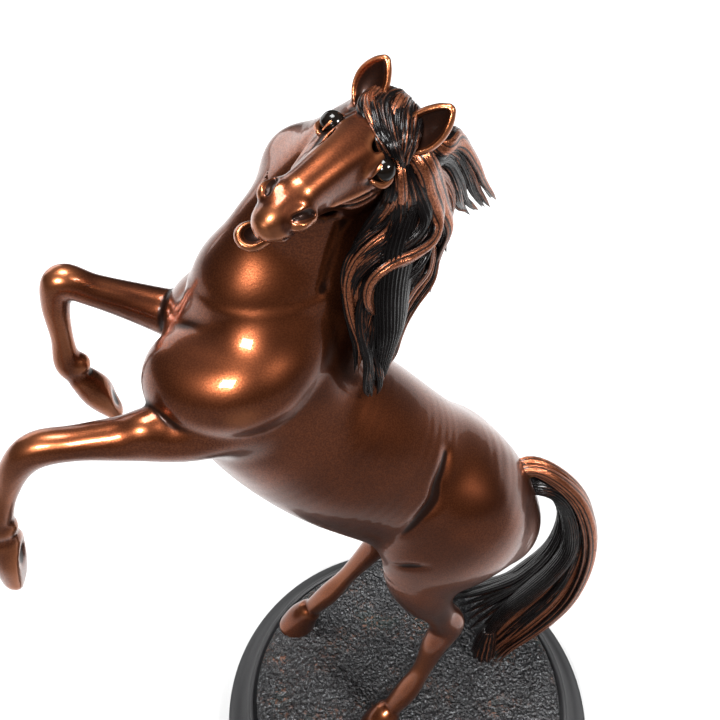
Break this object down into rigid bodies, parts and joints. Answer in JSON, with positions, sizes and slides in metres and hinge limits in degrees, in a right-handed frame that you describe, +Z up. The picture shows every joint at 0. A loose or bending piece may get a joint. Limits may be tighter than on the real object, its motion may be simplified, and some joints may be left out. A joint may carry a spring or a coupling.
{
  "type": "rearing horse statue",
  "caption": "Bronze statue of a rearing horse with its head turned, flowing mane and sweeping tail, standing on a grassy disc let into a round black plinth.",
  "frame": {"origin": "centre of the plinth's felt underside, on the surface it stands on", "axes": "+Z up; the horse faces -X, its left side is toward -Y; its body's middle plane is at y = +8 mm"},
  "size_m": [0.1904, 0.14, 0.2698],
  "materials": {
    "plinth": "matte black lacquer over turned hardwood",
    "felt": "black felt, glued",
    "turf_bronze": "near-black patina, lacquered, copper rubbed on the tips",
    "coat_bronze": "copper-bronze patina, polished and lacquered to a soft gloss",
    "hair_bronze": "dark patina in the grooves, copper rubbed on the ridges, lacquered",
    "dowel_bronze": "bare drawn rod",
    "zinc_steel": "zinc plated"
  },
  "bodies": {
    "root": {"plinth_felt": "felt", "plinth": "plinth", "ground_casting": "turf_bronze", "trunk_casting": "coat_bronze", "neck_casting": "coat_bronze", "head_casting": "coat_bronze", "forelock_casting": "hair_bronze", "mane_casting": "hair_bronze", "left_foreleg": "coat_bronze", "right_foreleg": "coat_bronze", "left_hind_leg": "coat_bronze", "right_hind_leg": "coat_bronze", "tail_casting": "hair_bronze", "leg_dowels": "dowel_bronze", "neck_dowels": "dowel_bronze", "tail_dowel": "dowel_bronze", "mounting_studs": "zinc_steel", "stud_washers": "zinc_steel", "stud_nuts": "zinc_steel"}
  },
  "joints": []
}
